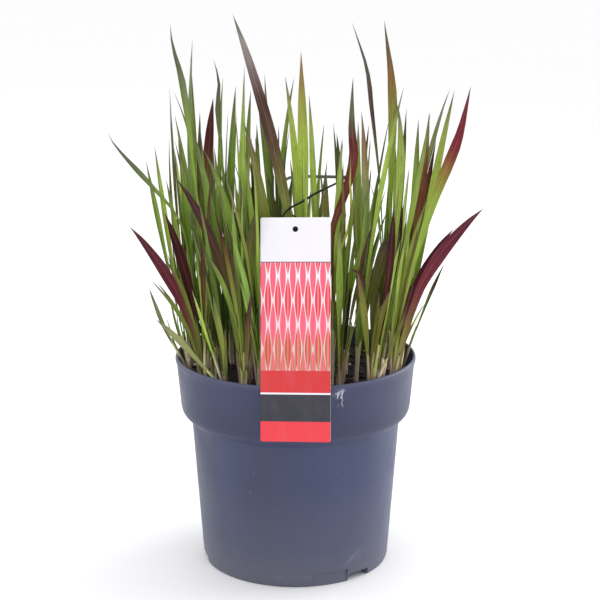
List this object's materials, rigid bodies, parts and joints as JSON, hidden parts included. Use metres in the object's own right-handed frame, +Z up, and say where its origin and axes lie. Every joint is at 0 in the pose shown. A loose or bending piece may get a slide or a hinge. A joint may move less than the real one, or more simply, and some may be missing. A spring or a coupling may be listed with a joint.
{
  "type": "potted ornamental grass",
  "caption": "Clump of upright green and red blood grass in a round nursery pot, with a colour-banded hang tag held by a strap.",
  "frame": {"origin": "middle of the pot's base, on the surface it stands on", "axes": "+Z up, -Y towards the hang tag's printed side"},
  "size_m": [0.2785, 0.2158, 0.438],
  "materials": {
    "pot": "satin, moulded",
    "soil": "crumbly, damp peat",
    "tag": "printed sheet",
    "strap": "moulded strap",
    "green_blade": "fresh leaf with a soft sheen",
    "red_blade": "crimson leaf with a soft sheen",
    "dry_stem": "dry straw"
  },
  "bodies": {
    "root": {"pot": "pot", "soil": "soil", "tag": "tag", "tag_loop": "strap", "green_shoot_01": "green_blade", "green_shoot_02": "green_blade", "green_shoot_03": "green_blade", "green_shoot_04": "green_blade", "green_shoot_05": "green_blade", "green_shoot_06": "green_blade", "green_shoot_07": "green_blade", "green_shoot_08": "green_blade", "green_shoot_09": "green_blade", "green_shoot_10": "green_blade", "green_shoot_11": "green_blade", "green_shoot_12": "green_blade", "green_shoot_13": "green_blade", "green_shoot_14": "green_blade", "green_shoot_15": "green_blade", "green_shoot_16": "green_blade", "green_shoot_17": "green_blade", "green_shoot_18": "green_blade", "green_shoot_19": "green_blade", "green_shoot_20": "green_blade", "green_shoot_21": "green_blade", "green_shoot_22": "green_blade", "green_shoot_23": "green_blade", "green_shoot_24": "green_blade", "green_shoot_25": "green_blade", "green_shoot_26": "green_blade", "green_shoot_27": "green_blade", "green_shoot_28": "green_blade", "green_shoot_29": "green_blade", "green_shoot_30": "green_blade", "green_shoot_31": "green_blade", "green_shoot_32": "green_blade", "green_shoot_33": "green_blade", "green_shoot_34": "green_blade", "green_shoot_35": "green_blade", "green_shoot_36": "green_blade", "green_shoot_37": "green_blade", "red_shoot_01": "red_blade", "red_shoot_02": "red_blade", "red_shoot_03": "red_blade", "red_shoot_04": "red_blade", "red_shoot_05": "red_blade", "red_shoot_06": "red_blade", "red_shoot_07": "red_blade", "red_shoot_08": "red_blade", "red_shoot_09": "red_blade", "red_shoot_10": "red_blade", "red_shoot_11": "red_blade", "red_shoot_12": "red_blade", "red_shoot_13": "red_blade", "dry_stubs_01": "dry_stem", "dry_stubs_02": "dry_stem", "dry_stubs_03": "dry_stem", "dry_stubs_04": "dry_stem", "dry_stubs_05": "dry_stem"}
  },
  "joints": []
}
